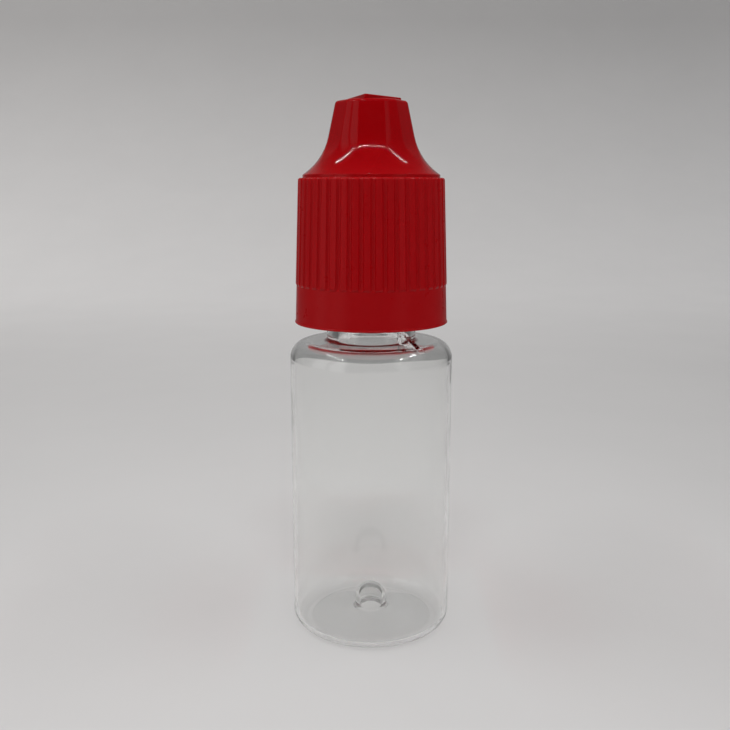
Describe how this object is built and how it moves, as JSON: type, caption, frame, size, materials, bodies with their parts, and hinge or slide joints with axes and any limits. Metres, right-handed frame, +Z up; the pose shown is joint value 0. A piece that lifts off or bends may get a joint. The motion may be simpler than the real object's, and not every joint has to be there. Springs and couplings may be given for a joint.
{
  "type": "dropper bottle",
  "caption": "Small clear round dropper bottle with a ribbed press-and-turn cap, an inner threaded cap, a dropper insert and a tamper ring.",
  "frame": {"origin": "centre of the circle that the bottle stands on", "axes": "+Z up along the bottle's axis, -Y towards the front; one shoulder fin stands at the right front, at 50 degrees from +X towards -Y"},
  "size_m": [0.022, 0.022, 0.0721],
  "materials": {
    "pet_clear": "clear polished PET",
    "ldpe_natural": "milky natural LDPE",
    "pp_red": "moulded red polypropylene, satin skirt and glossy nose"
  },
  "bodies": {
    "bottle": {"bottle": "pet_clear", "dropper_insert": "ldpe_natural"},
    "ring": {"tamper_ring": "pp_red"},
    "inner": {"inner_cap": "pp_red"},
    "outer": {"outer_cap": "pp_red"}
  },
  "joints": [
    {"name": "cap_turn", "type": "hinge", "parent": "bottle", "child": "ring", "pos_m": [0, 0, 0.0457], "axis": [0, 0, 1], "range_deg": [0, 2880]},
    {"name": "cap_lift", "type": "slide", "parent": "ring", "child": "inner", "axis": [0, 0, 1], "range_m": [0, 0.024]},
    {"name": "cap_press", "type": "slide", "parent": "inner", "child": "outer", "axis": [0, 0, -1], "range_m": [0, 0.0012], "stiffness_N_per_m": 2000, "springref_m": -0.0002}
  ],
  "couplings": [
    {"joint": "cap_lift", "follows": "cap_turn", "m_per_rad": 0.00047746}
  ]
}
